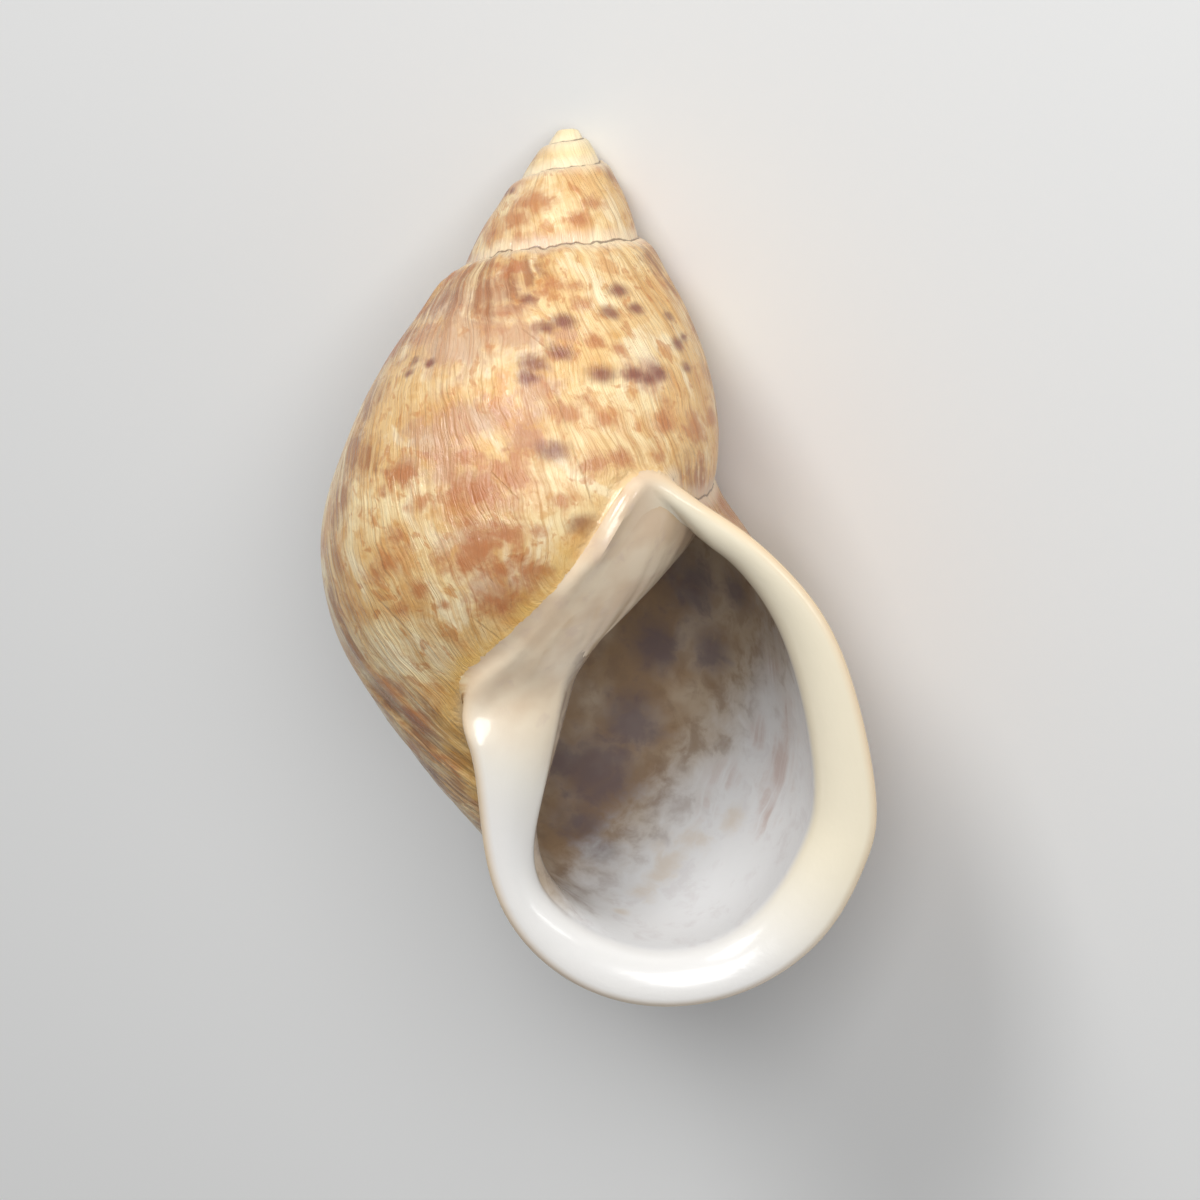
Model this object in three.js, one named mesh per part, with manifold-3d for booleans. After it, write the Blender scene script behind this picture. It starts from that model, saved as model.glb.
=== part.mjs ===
// The shell of a large tropical land snail, coiled to the right, lying on the back of its last whorl
// with the open side up. Millimetres, +Z up, the tip of the spire towards +Y.
//
// The shell is one tube that winds down from the tip, each whorl grown onto the one before it.
// A place on it is given by its turn, counted from the aperture (0 there, negative towards the
// tip), and by k, which runs from 0 to 16 round the tube: 0 at the suture above, 5 at the widest
// part, 9 at the foot, 11 to 15 up the columella.
//
// It is built upright in a frame of its own, x across, y up the coil's axis with the tip at 0,
// z towards the open side, and then laid down.
import * as THREE from "three";
import Module from "manifold-3d";

const wasm = await Module();
wasm.setup();

// The coil. Each list holds one value for each half turn, from turn -4.5 to turn 0.5.
const FIRST_TURN = -4.5;
const STATION = 0.5;
const WHORL_RADIUS = [0.75, 1.15, 1.7, 2.55, 3.8, 5.45, 7.7, 11.45, 15.7, 23.6, 30];
const SUTURE_DEPTH = [0, 0.1, 0.3, 0.75, 1.5, 2.35, 4.2, 7.5, 10.8, 21.2, 35];
const FOOT_DEPTH = [1.6, 2.8, 4.6, 7.4, 11.8, 17.5, 26, 36.8, 49.5, 61.4, 72];
const TIP_TURN = -4.4; // where the tube begins
const TIP_ROUNDING = 0.5; // turns over which it opens from a point to its full section
const TIP_MIDDLE_ACROSS = 0.45; // the point, as shares of the whorl's radius and depth
const TIP_MIDDLE_DOWN = 0.5;
const AXIS_BEND = -1.3; // how far the axis of the coil has moved across at the aperture
const BEND_TURNS = 0.6; // turns over which it does so

// The section of the tube at the sixteen values of k, as shares of the whorl's radius (across)
// and of the depth from suture to foot (down): one for the spire, one for the aperture.
const SPIRE_ACROSS = [
  0.46, 0.6, 0.73, 0.86, 0.96, 1, 0.95, 0.805,
  0.575, 0.335, 0.145, 0.06, 0.03, 0.03, 0.06, 0.22,
];
const SPIRE_DOWN = [
  0, 0.06, 0.14, 0.245, 0.365, 0.49, 0.605, 0.71,
  0.81, 0.89, 0.93, 0.88, 0.72, 0.5, 0.25, 0.05,
];
const MOUTH_ACROSS = [
  0.47, 0.555, 0.63, 0.74, 0.84, 0.91, 0.885, 0.805,
  0.665, 0.45, 0.215, 0.055, 0.03, 0.085, 0.17, 0.32,
];
const MOUTH_DOWN = [
  0.05, 0.1, 0.155, 0.25, 0.395, 0.59, 0.71, 0.81,
  0.895, 0.93, 0.89, 0.79, 0.655, 0.5, 0.32, 0.18,
];
const MOUTH_CHANGE = -0.5; // turn at which the section starts to change from one to the other

// How far ahead of its turn each part of a growth line has grown, in turns.
const GROWTH_LEAD = [
  0.1, 0.08, 0.062, 0.042, 0.024, 0.006, -0.004, -0.011,
  -0.02, -0.024, -0.015, 0.02, 0.07, 0.11, 0.125, 0.12,
];

// The outer edge of the lip at the sixteen values of k: across from the axis, and down from the
// tip. It lies in one plane, which leans back towards the foot, but is lifted out of it where it
// runs as a low callus over the whorl before it, from the top corner (0) to the columella (14).
const LIP_ACROSS = [
  5.9, 10, 13.5, 17.5, 21.2, 23.8, 23.4, 21,
  16.2, 9.9, 3.6, -1.2, -3.4, -4.8, -5.5, 1.7,
];
const LIP_DOWN = [
  24.6, 25.8, 27.9, 31.2, 36.7, 45.5, 50.6, 55.6,
  59.7, 61.4, 60.1, 56, 50.1, 43.4, 39.7, 31.6,
];
const LIP_LIFT = [1.4, 0, 0, 0, 0, 0, 0, 0, 0, 0, 0, 0, 0, 0, -0.4, 3];
const LIP_PLANE_AT_TIP = 18.4; // how far in front of the axis the lip's plane is, at the tip's level
const LIP_PLANE_ACROSS = -0.097;
const LIP_PLANE_DOWN = -0.292;
const LIP_RADIUS = 0.75; // of the rounded rim

// How full the flare's profile is, from 0, straight, to 1, a quarter of an ellipse.
const FLARE_BULGE = [0.25, 1, 1, 1, 1, 1, 1, 1, 1, 1, 1, 1, 1, 1, 0.8, 0];

const WALL = 0.9;
const WALL_SHARE = 0.11; // of the whorl's radius, where the whorl is too small for the full wall
const COLUMELLA = 0.9; // added to the wall on the side of the axis
const GRAFT_DEPTH = 0.5; // a new whorl's wall is cut off this share of the wall inside the old one
const GRAFT_FROM = 1.45; // how many turns before it the old one is taken from, and up to
const GRAFT_TO = 0.7;
const GRAFT_START = -3.3; // but no earlier than this turn
const GRAFT_PIECES = 3;
const GRAFT_STEPS = 6;
const GRAFT_OVERLAP = 0.01; // turns that each piece goes on into the next

// The tip is filled, and the hollow begins with the first of these stretches of whorl.
const FILLED_STRETCHES = [
  // from turn, to turn, steps
  [TIP_TURN, -3.4, 11],
  [-3.4, -2.9, 7],
  [-2.9, -2.5, 6],
];
const HOLLOW_STRETCHES = [
  // from turn, to turn, steps outside, steps inside
  [-2.5, -2.1, 6, 3],
  [-2.1, -1.7, 6, 3],
  [-1.7, -1.4, 5, 3],
  [-1.4, -1.1, 6, 3],
  [-1.1, -0.8, 6, 4],
  [-0.8, -0.5, 7, 5],
  [-0.5, -0.25, 5, 4],
  [-0.25, 0, 5, 5],
];
const FLARE_SHARES = [0.25, 0.5, 0.75, 1];
const RIM_ANGLES = [-Math.PI / 4, 0, Math.PI / 4];
const RING = 30; // points round the tube
const SPLINE_PASSES = 40; // enough for a spline to pass through its values
const K_STEP = 0.02; // between the two points that a direction along the section is taken from

// The pillar that fills the middle of the coil.
const PILLAR = [
  // depth below the tip, radius
  [0.6, 0.25],
  [6, 0.7],
  [14, 1.1],
  [26, 1.4],
  [36, 1.35],
  [43, 0.9],
  [46, 0.5],
];
const PILLAR_SIDES = 12;

// How the shell lies: rolled over to its right, with the tip's end dipped, and where the tip of
// the axis then is. The floor takes a small flat spot off the back of the last whorl, and a
// smaller one off the whorl before it.
const ROLL = 27;
const DIP = 27;
const TIP_PLACE = [-2.64, 28.61, 1.53];

const smooth = (x) => {
  const s = Math.min(1, Math.max(0, x));
  return s * s * (3 - 2 * s);
};

// The control values of the uniform cubic B-spline that passes through a list of values.
function controls(values, closed) {
  const count = values.length;
  let made = [...values];
  for (let pass = 0; pass < SPLINE_PASSES; pass++) {
    made = made.map((_, i) => {
      if (!closed && (i === 0 || i === count - 1)) return values[i];
      return (6 * values[i] - made[(i + count - 1) % count] - made[(i + 1) % count]) / 4;
    });
  }
  return made;
}

// The value at x of a spline made by controls(). Past its ends an open one goes on straight.
function splineAt(made, x, closed) {
  const last = made.length - 1;
  const at = (i) => {
    if (closed) return made[((i % made.length) + made.length) % made.length];
    if (i < 0) return made[0] + i * (made[1] - made[0]);
    if (i > last) return made[last] + (i - last) * (made[last] - made[last - 1]);
    return made[i];
  };
  const i = Math.floor(x);
  const f = x - i;
  const g = 1 - f;
  const second = 3 * f * f * f - 6 * f * f + 4;
  const third = 3 * g * g * g - 6 * g * g + 4;
  return (g * g * g * at(i - 1) + second * at(i) + third * at(i + 1) + f * f * f * at(i + 2)) / 6;
}

const along = (values) => {
  const made = controls(values, false);
  return (turn) => splineAt(made, (turn - FIRST_TURN) / STATION, false);
};
const round = (values) => {
  const made = controls(values, true);
  return (k) => splineAt(made, k, true);
};

const logRadius = along(WHORL_RADIUS.map(Math.log));
const whorlRadius = (turn) => Math.exp(logRadius(turn));
const sutureDepth = along(SUTURE_DEPTH);
const footDepth = along(FOOT_DEPTH);
const spireAcross = round(SPIRE_ACROSS);
const spireDown = round(SPIRE_DOWN);
const mouthAcross = round(MOUTH_ACROSS);
const mouthDown = round(MOUTH_DOWN);
const growthLead = round(GROWTH_LEAD);
const lipAcross = round(LIP_ACROSS);
const lipDown = round(LIP_DOWN);
const lipLift = round(LIP_LIFT);
const flareBulge = round(FLARE_BULGE);
const SECTION_POINTS = SPIRE_ACROSS.length;

// Radius from the coil's axis and depth below the tip, on the tube's outer surface.
function sectionPoint(turn, k, mouth) {
  const across = spireAcross(k) * (1 - mouth) + mouthAcross(k) * mouth;
  const down = spireDown(k) * (1 - mouth) + mouthDown(k) * mouth;
  const suture = sutureDepth(turn);
  return [whorlRadius(turn) * across, suture + (footDepth(turn) - suture) * down];
}

// How much of the columella's extra thickness a place has.
const onColumella = (k) => smooth((k - 10) / 1.5) * smooth((16 - k) / 1.5);

// A point of the tube, moved inwards by depth (1 is the whole wall). x is across, y up, z forward.
function tubePoint(turn, k, depth) {
  const at = turn + growthLead(k);
  const mouth = smooth((turn - MOUTH_CHANGE) / -MOUTH_CHANGE);
  let [r, v] = sectionPoint(at, k, mouth);
  const opening = Math.min(1, (turn - TIP_TURN) / TIP_ROUNDING);
  if (opening < 1) {
    const share = Math.sqrt(Math.max(0, 1 - (1 - opening) ** 2));
    const middleR = TIP_MIDDLE_ACROSS * whorlRadius(at);
    const middleV = sutureDepth(at) + TIP_MIDDLE_DOWN * (footDepth(at) - sutureDepth(at));
    r = middleR + (r - middleR) * share;
    v = middleV + (v - middleV) * share;
  }
  if (depth) {
    const [r1, v1] = sectionPoint(at, k - K_STEP, mouth);
    const [r2, v2] = sectionPoint(at, k + K_STEP, mouth);
    const length = Math.hypot(r2 - r1, v2 - v1);
    const wall = Math.min(WALL, WALL_SHARE * whorlRadius(at));
    const thickness = depth * (wall + onColumella(k) * (1 - mouth) * COLUMELLA * (wall / WALL));
    r -= (thickness * (v2 - v1)) / length;
    v += (thickness * (r2 - r1)) / length;
  }
  const angle = 2 * Math.PI * at;
  const bend = AXIS_BEND * smooth((at + BEND_TURNS) / BEND_TURNS);
  return new THREE.Vector3(bend + r * Math.cos(angle), -v, r * Math.sin(angle));
}

// The lip's outer edge.
function lipPoint(k) {
  const u = lipAcross(k);
  const v = lipDown(k);
  const w = LIP_PLANE_AT_TIP + LIP_PLANE_ACROSS * u + LIP_PLANE_DOWN * v + lipLift(k);
  return new THREE.Vector3(u, -v, w);
}

const lipForward = new THREE.Vector3(-LIP_PLANE_ACROSS, LIP_PLANE_DOWN, 1).normalize();

// Away from the aperture, in the lip's plane.
function lipOutward(k) {
  const tangent = lipPoint(k + K_STEP).sub(lipPoint(k - K_STEP));
  return tangent.cross(lipForward).normalize().negate();
}

// A ring of points round the tube.
const ring = (pointAt) =>
  Array.from({ length: RING }, (_, i) => pointAt((i / RING) * SECTION_POINTS));

const coilRing = (turn, depth) => ring((k) => tubePoint(turn, k, depth));

// The middle of the rounded rim.
const rimMiddle = (k) =>
  lipPoint(k).addScaledVector(lipOutward(k), -LIP_RADIUS).addScaledVector(lipForward, -LIP_RADIUS);

// The flare. share is 0 where it leaves the whorl and 1 at the rim, depth 0 behind it and 1 in
// front.
const flareRing = (share, depth) =>
  ring((k) => {
    const start = tubePoint(0, k, depth);
    const way = rimMiddle(k).addScaledVector(lipForward, LIP_RADIUS * (2 * depth - 1)).sub(start);
    const forward = way.dot(lipForward);
    const aside = way.clone().addScaledVector(lipForward, -forward);
    const angle = (share * Math.PI) / 2;
    const bulge = flareBulge(k);
    return start
      .addScaledVector(lipForward, forward * (share + bulge * (Math.sin(angle) - share)))
      .addScaledVector(aside, share + bulge * (1 - Math.cos(angle) - share));
  });

// The rounded rim. angle is 0 at the lip's outer edge, negative behind it and positive in front.
const rimRing = (angle) =>
  ring((k) =>
    rimMiddle(k)
      .addScaledVector(lipOutward(k), LIP_RADIUS * Math.cos(angle))
      .addScaledVector(lipForward, LIP_RADIUS * Math.sin(angle)),
  );

// From the shell's own frame to the way it lies.
const rest = new THREE.Matrix4()
  .makeTranslation(...TIP_PLACE)
  .multiply(new THREE.Matrix4().makeRotationX(THREE.MathUtils.degToRad(-DIP)))
  .multiply(new THREE.Matrix4().makeRotationY(THREE.MathUtils.degToRad(ROLL)));

// A closed solid from rings with equal counts. A tube has flat ends, and a wall is closed on itself.
function solidFromRings(rings, closed) {
  const count = rings[0].length;
  const points = rings.flat();
  const faces = [];
  const stretches = closed ? rings.length : rings.length - 1;
  for (let j = 0; j < stretches; j++) {
    const here = j * count;
    const next = ((j + 1) % rings.length) * count;
    for (let i = 0; i < count; i++) {
      const after = (i + 1) % count;
      const [a, b, c, d] = [here + i, here + after, next + after, next + i];
      // The face that closes a wall is split the other way, so that it fits the face of the next wall.
      if (next === 0) faces.push([a, d, b], [b, d, c]);
      else faces.push([a, c, b], [a, d, c]);
    }
  }
  if (!closed) {
    const middleOf = (ends) =>
      ends.reduce((sum, p) => sum.add(p), new THREE.Vector3()).divideScalar(count);
    const start = points.push(middleOf(rings[0])) - 1;
    const end = points.push(middleOf(rings.at(-1))) - 1;
    const lastRing = (rings.length - 1) * count;
    for (let i = 0; i < count; i++) {
      const after = (i + 1) % count;
      faces.push([start, i, after]);
      faces.push([end, lastRing + after, lastRing + i]);
    }
  }
  const laid = points.map((p) => p.clone().applyMatrix4(rest));
  const vertProperties = new Float32Array(laid.flatMap((p) => [p.x, p.y, p.z]));
  const triVerts = new Uint32Array(faces.flat());
  return new wasm.Manifold(new wasm.Mesh({ numProp: 3, vertProperties, triVerts }));
}

const turnsBetween = (from, to, steps) =>
  Array.from({ length: steps + 1 }, (_, i) => from + ((to - from) * i) / steps);

// A stretch of the tube, filled, with its surface moved inwards by depth.
const filled = (from, to, steps, depth = 0) =>
  solidFromRings(turnsBetween(from, to, steps).map((turn) => coilRing(turn, depth)), false);

// A stretch of the tube's wall: the outer surface one way and the inner one back. The last one
// goes on into the flare and round the rim.
function wall(from, to, outerSteps, innerSteps) {
  const outside = turnsBetween(from, to, outerSteps).map((turn) => coilRing(turn, 0));
  const inside = turnsBetween(to, from, innerSteps).map((turn) => coilRing(turn, 1));
  if (to < 0) return solidFromRings([...outside, ...inside], true);
  const behind = FLARE_SHARES.map((share) => flareRing(share, 0));
  const inFront = FLARE_SHARES.map((share) => flareRing(share, 1)).reverse();
  return solidFromRings([...outside, ...behind, ...RIM_ANGLES.map(rimRing), ...inFront, ...inside], true);
}

// The inside of the older whorls that a stretch of wall grows onto, in short pieces.
function graftPieces(from) {
  const start = Math.max(from - GRAFT_FROM, GRAFT_START);
  const cuts = turnsBetween(start, from - GRAFT_TO, GRAFT_PIECES);
  return cuts
    .slice(1)
    .map((cut, i) => filled(cuts[i], cut + GRAFT_OVERLAP, GRAFT_STEPS, GRAFT_DEPTH));
}

const pillar = () =>
  solidFromRings(
    PILLAR.map(([depth, radius]) =>
      Array.from({ length: PILLAR_SIDES }, (_, i) => {
        const angle = (2 * Math.PI * i) / PILLAR_SIDES;
        return new THREE.Vector3(radius * Math.cos(angle), -depth, -radius * Math.sin(angle));
      }),
    ),
    false,
  );

function buildShell() {
  // The filled tip reaches one step into the first hollow stretch, which closes the hollow.
  const [first, firstEnd, firstSteps] = HOLLOW_STRETCHES[0];
  let shell = pillar().add(filled(first, first + (firstEnd - first) / firstSteps, 1));
  for (const stretch of FILLED_STRETCHES) shell = shell.add(filled(...stretch));
  for (const stretch of HOLLOW_STRETCHES) {
    let grown = wall(...stretch);
    for (const piece of graftPieces(stretch[0])) grown = grown.subtract(piece);
    shell = shell.add(grown);
  }
  shell = shell.trimByPlane([0, 0, 1], 0);
  // Crumbs and pinholes thinner than a hair, left where two walls cross, are dropped.
  return shell.decompose().reduce((most, piece) => (piece.volume() > most.volume() ? piece : most));
}

const solid = buildShell().getMesh();
const geometry = new THREE.BufferGeometry();
geometry.setAttribute("position", new THREE.BufferAttribute(new Float32Array(solid.vertProperties), 3));
geometry.setIndex(new THREE.BufferAttribute(new Uint32Array(solid.triVerts), 1));
geometry.computeVertexNormals();

const shellMaterial = new THREE.MeshStandardMaterial({ color: 0xe6cc9a, roughness: 0.35, metalness: 0 });
const shell = new THREE.Mesh(geometry, shellMaterial);
shell.name = "shell";

const part = new THREE.Group();
part.add(shell);
export default part;
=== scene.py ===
"""The looks of a large tropical land snail's shell, lying on its back with its mouth up.

The shell's own frame is in millimetres: x across, y up the coil's axis with the tip at 0, and z
towards the open side. A place on the tube is given by its turn (0 at the mouth, negative towards
the tip) and by k, from 0 to 16 round the tube: 0 at the seam above, 5 at the widest part, 9 at the
foot, 11 to 15 up the pillar in the middle.
"""

import math

import bpy
import numpy as np
from mathutils import Matrix, Vector
from mathutils.bvhtree import BVHTree
from mathutils.kdtree import KDTree


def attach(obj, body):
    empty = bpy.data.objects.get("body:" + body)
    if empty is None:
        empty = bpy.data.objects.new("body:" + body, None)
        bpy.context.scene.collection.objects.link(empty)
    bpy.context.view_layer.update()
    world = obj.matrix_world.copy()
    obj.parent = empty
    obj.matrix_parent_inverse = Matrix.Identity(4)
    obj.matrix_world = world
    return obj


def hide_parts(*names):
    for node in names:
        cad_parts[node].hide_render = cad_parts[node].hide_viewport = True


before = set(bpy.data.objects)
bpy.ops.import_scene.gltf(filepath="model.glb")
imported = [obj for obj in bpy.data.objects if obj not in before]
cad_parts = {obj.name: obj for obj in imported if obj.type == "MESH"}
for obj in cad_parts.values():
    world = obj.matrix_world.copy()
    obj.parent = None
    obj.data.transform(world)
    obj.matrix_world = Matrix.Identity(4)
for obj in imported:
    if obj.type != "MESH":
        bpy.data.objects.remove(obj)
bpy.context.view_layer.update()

# The coil. Each list holds one value for each half turn, from turn -4.5 to turn 0.5.
FIRST_TURN = -4.5
STATION = 0.5
WHORL_RADIUS = [0.75, 1.15, 1.7, 2.55, 3.8, 5.45, 7.7, 11.45, 15.7, 23.6, 30]
SUTURE_DEPTH = [0, 0.1, 0.3, 0.75, 1.5, 2.35, 4.2, 7.5, 10.8, 21.2, 35]
FOOT_DEPTH = [1.6, 2.8, 4.6, 7.4, 11.8, 17.5, 26, 36.8, 49.5, 61.4, 72]
TIP_TURN = -4.4
TIP_ROUNDING = 0.5
AXIS_BEND = -1.3
BEND_TURNS = 0.6

# The tube's section at the sixteen values of k, as shares of the whorl's radius and depth.
SPIRE_ACROSS = [
    0.46, 0.6, 0.73, 0.86, 0.96, 1, 0.95, 0.805,
    0.575, 0.335, 0.145, 0.06, 0.03, 0.03, 0.06, 0.22,
]
SPIRE_DOWN = [
    0, 0.06, 0.14, 0.245, 0.365, 0.49, 0.605, 0.71,
    0.81, 0.89, 0.93, 0.88, 0.72, 0.5, 0.25, 0.05,
]
MOUTH_ACROSS = [
    0.47, 0.555, 0.63, 0.74, 0.84, 0.91, 0.885, 0.805,
    0.665, 0.45, 0.215, 0.055, 0.03, 0.085, 0.17, 0.32,
]
MOUTH_DOWN = [
    0.05, 0.1, 0.155, 0.25, 0.395, 0.59, 0.71, 0.81,
    0.895, 0.93, 0.89, 0.79, 0.655, 0.5, 0.32, 0.18,
]
MOUTH_CHANGE = -0.5

GROWTH_LEAD = [
    0.1, 0.08, 0.062, 0.042, 0.024, 0.006, -0.004, -0.011,
    -0.02, -0.024, -0.015, 0.02, 0.07, 0.11, 0.125, 0.12,
]

# The outer edge of the lip at the sixteen values of k, and its plane.
LIP_ACROSS = [
    5.9, 10, 13.5, 17.5, 21.2, 23.8, 23.4, 21,
    16.2, 9.9, 3.6, -1.2, -3.4, -4.8, -5.5, 1.7,
]
LIP_DOWN = [
    24.6, 25.8, 27.9, 31.2, 36.7, 45.5, 50.6, 55.6,
    59.7, 61.4, 60.1, 56, 50.1, 43.4, 39.7, 31.6,
]
LIP_LIFT = [1.4, 0, 0, 0, 0, 0, 0, 0, 0, 0, 0, 0, 0, 0, -0.4, 3.0]
LIP_PLANE_AT_TIP = 18.4
LIP_PLANE_ACROSS = -0.097
LIP_PLANE_DOWN = -0.292
LIP_RADIUS = 0.75
FLARE_BULGE = [0.25, 1, 1, 1, 1, 1, 1, 1, 1, 1, 1, 1, 1, 1, 0.8, 0]

WALL = 0.9
WALL_SHARE = 0.11
COLUMELLA = 0.9
GRAFT_DEPTH = 0.5

# How the shell lies.
ROLL = math.radians(27)
DIP = math.radians(27)
TIP_PLACE = (-2.64, 28.61, 1.53)
MM = 0.001
REST = (
    Matrix.Scale(MM, 4)
    @ Matrix.Translation(TIP_PLACE)
    @ Matrix.Rotation(-DIP, 4, "X")
    @ Matrix.Rotation(ROLL, 4, "Y")
)
REST_TURN = np.array(Matrix.Rotation(-DIP, 3, "X") @ Matrix.Rotation(ROLL, 3, "Y"))
REST_MOVE = np.array(TIP_PLACE)

# How finely the visual surface is built.
FINE = 1
RING = int(160 * FINE)
FILLED_STRETCHES = [
    # from turn, to turn, steps
    (TIP_TURN, -4.0, 20),
    (-4.0, -3.4, 26),
    (-3.4, -2.9, 30),
    (-2.9, -2.5, 32),
    (-2.5, -2.1, 40),
    (-2.1, -1.7, 48),
]
HOLLOW_STRETCHES = [
    # from turn, to turn, steps outside, steps inside
    (-1.7, -1.4, 46, 12),
    (-1.4, -1.1, 58, 14),
    (-1.1, -0.8, 72, 18),
    (-0.8, -0.5, 86, 24),
    (-0.5, -0.25, 90, 30),
    (-0.25, 0, 104, 44),
]
FLARE_STEPS = 12
RIM_STEPS = 9

# Where a stretch's wall runs into an older whorl, it ends half way through the older wall. The older
# whorl is taken from CORE_BACK to CORE_FRONT turns before the stretch, and not from before CORE_LIMIT.
CORE_BACK = 1.45
CORE_FRONT = 0.7
CORE_LIMIT = -3.3
CORE_STEPS = 14
CORE_RING = 64


def smooth(x):
    s = np.clip(x, 0, 1)
    return s * s * (3 - 2 * s)


# Splines through lists of values


def controls(values, closed):
    values = np.array(values, float)
    made = values.copy()
    for _ in range(40):
        step = (6 * values - np.roll(made, 1) - np.roll(made, -1)) / 4
        if not closed:
            step[0], step[-1] = values[0], values[-1]
        made = step
    return made


def spline_at(made, x, closed):
    last = len(made) - 1

    def at(i):
        if closed:
            return made[i % len(made)]
        below = made[0] + i * (made[1] - made[0])
        above = made[last] + (i - last) * (made[last] - made[last - 1])
        return np.where(i < 0, below, np.where(i > last, above, made[np.clip(i, 0, last)]))

    i = np.floor(x).astype(int)
    f = x - i
    g = 1 - f
    second = 3 * f**3 - 6 * f**2 + 4
    third = 3 * g**3 - 6 * g**2 + 4
    return (g**3 * at(i - 1) + second * at(i) + third * at(i + 1) + f**3 * at(i + 2)) / 6


def along(values):
    made = controls(values, False)
    return lambda turn: spline_at(made, (np.asarray(turn, float) - FIRST_TURN) / STATION, False)


def round_tube(values):
    made = controls(values, True)
    return lambda k: spline_at(made, np.asarray(k, float), True)


log_radius = along(np.log(WHORL_RADIUS))
suture_depth = along(SUTURE_DEPTH)
foot_depth = along(FOOT_DEPTH)
spire_across = round_tube(SPIRE_ACROSS)
spire_down = round_tube(SPIRE_DOWN)
mouth_across = round_tube(MOUTH_ACROSS)
mouth_down = round_tube(MOUTH_DOWN)
growth_lead = round_tube(GROWTH_LEAD)
lip_across = round_tube(LIP_ACROSS)
lip_down = round_tube(LIP_DOWN)
lip_lift = round_tube(LIP_LIFT)
flare_bulge = round_tube(FLARE_BULGE)
SECTION_POINTS = 16


def whorl_radius(turn):
    return np.exp(log_radius(turn))


# Repeatable smooth noise

rng = np.random.default_rng(7)
LATTICE = rng.uniform(-1, 1, (997, 61))


def noise(x, y=0.0, layer=0):
    """Smooth noise from -1 to 1 at a place. Each layer is a different field."""
    x = np.asarray(x, float) + 131.7 * layer
    y = np.asarray(y, float) + 17.3 * layer
    i, j = np.floor(x).astype(int), np.floor(y).astype(int)
    f, g = smooth(x - i), smooth(y - j)

    def at(a, b):
        return LATTICE[a % LATTICE.shape[0], b % LATTICE.shape[1]]

    low = at(i, j) * (1 - f) + at(i + 1, j) * f
    high = at(i, j + 1) * (1 - f) + at(i + 1, j + 1) * f
    return low * (1 - g) + high * g


# Length along the widest part of the tube, in millimetres, from the first turn on.
MEASURED_TURNS = np.linspace(FIRST_TURN, 0.5, 2001)
BETWEEN_TURNS = (MEASURED_TURNS[1:] + MEASURED_TURNS[:-1]) / 2
STEP_LENGTHS = 2 * math.pi * whorl_radius(BETWEEN_TURNS) * np.diff(MEASURED_TURNS)
MEASURED_LENGTHS = np.concatenate([[0], np.cumsum(STEP_LENGTHS)])


def length_along(turn):
    return np.interp(turn, MEASURED_TURNS, MEASURED_LENGTHS)


def wrinkles(turn, k):
    """How far growth wrinkles lift the outside, in millimetres."""
    s = length_along(turn)
    size = np.clip(whorl_radius(turn) / 14, 0.12, 1.1)
    high_up = np.exp(-((k / 2.2) ** 2)) + np.exp(-(((k - 16) / 2.2) ** 2))
    low_down = smooth((k - 5.5) / 2.5)
    strength = 0.7 + 1.2 * high_up + 1.3 * low_down
    strength = strength * (0.75 + 0.5 * noise(s / 9, k * 0.6, 5))
    broad = 0.065 * noise(s / 2.4, k * 0.35, 1)
    ridge = 0.06 * noise(s / 1.05, k * 0.7, 2)
    thread = 0.022 * noise(s / 0.55, k * 0.9, 3)
    at_seam = np.exp(-((k / 0.4) ** 2)) + np.exp(-(((k - 16) / 0.4) ** 2))
    frill = 0.09 * noise(s / 0.75, 0, 4) * at_seam
    return size * (strength * (broad + ridge + thread) + frill)


# The tube


def section(turn, k, mouth):
    across = spire_across(k) * (1 - mouth) + mouth_across(k) * mouth
    down = spire_down(k) * (1 - mouth) + mouth_down(k) * mouth
    suture = suture_depth(turn)
    return whorl_radius(turn) * across, suture + (foot_depth(turn) - suture) * down


def on_columella(k):
    return smooth((k - 10) / 1.5) * smooth((16 - k) / 1.5)


def tube(turn, k, depth, lift=0.0):
    """Points of the tube, moved inwards by depth (1 is the whole wall) and outwards by lift."""
    turn, k = np.broadcast_arrays(np.asarray(turn, float), np.asarray(k, float))
    k = k % SECTION_POINTS
    at = turn + growth_lead(k)
    mouth = smooth((turn - MOUTH_CHANGE) / -MOUTH_CHANGE)
    r, v = section(at, k, mouth)
    opening = np.clip((turn - TIP_TURN) / TIP_ROUNDING, 0, 1)
    share = np.sqrt(np.clip(1 - (1 - opening) ** 2, 0, 1))
    middle_r = 0.45 * whorl_radius(at)
    middle_v = 0.5 * (suture_depth(at) + foot_depth(at))
    r = middle_r + (r - middle_r) * share
    v = middle_v + (v - middle_v) * share
    step = 0.02
    r1, v1 = section(at, k - step, mouth)
    r2, v2 = section(at, k + step, mouth)
    length = np.hypot(r2 - r1, v2 - v1)
    wall = np.minimum(WALL, WALL_SHARE * whorl_radius(at))
    inwards = depth * (wall + on_columella(k) * (1 - mouth) * COLUMELLA * (wall / WALL)) - lift
    r = r - inwards * (v2 - v1) / length
    v = v + inwards * (r2 - r1) / length
    angle = 2 * math.pi * at
    bend = AXIS_BEND * smooth((at + BEND_TURNS) / BEND_TURNS)
    return np.stack([bend + r * np.cos(angle), -v, r * np.sin(angle)], -1)


def outside(turn, k):
    return tube(turn, k, 0, wrinkles(turn, np.asarray(k) % SECTION_POINTS))


def inside(turn, k):
    return tube(turn, k, 1)


# The lip

LIP_FORWARD = np.array([-LIP_PLANE_ACROSS, LIP_PLANE_DOWN, 1])
LIP_FORWARD = LIP_FORWARD / np.linalg.norm(LIP_FORWARD)


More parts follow.
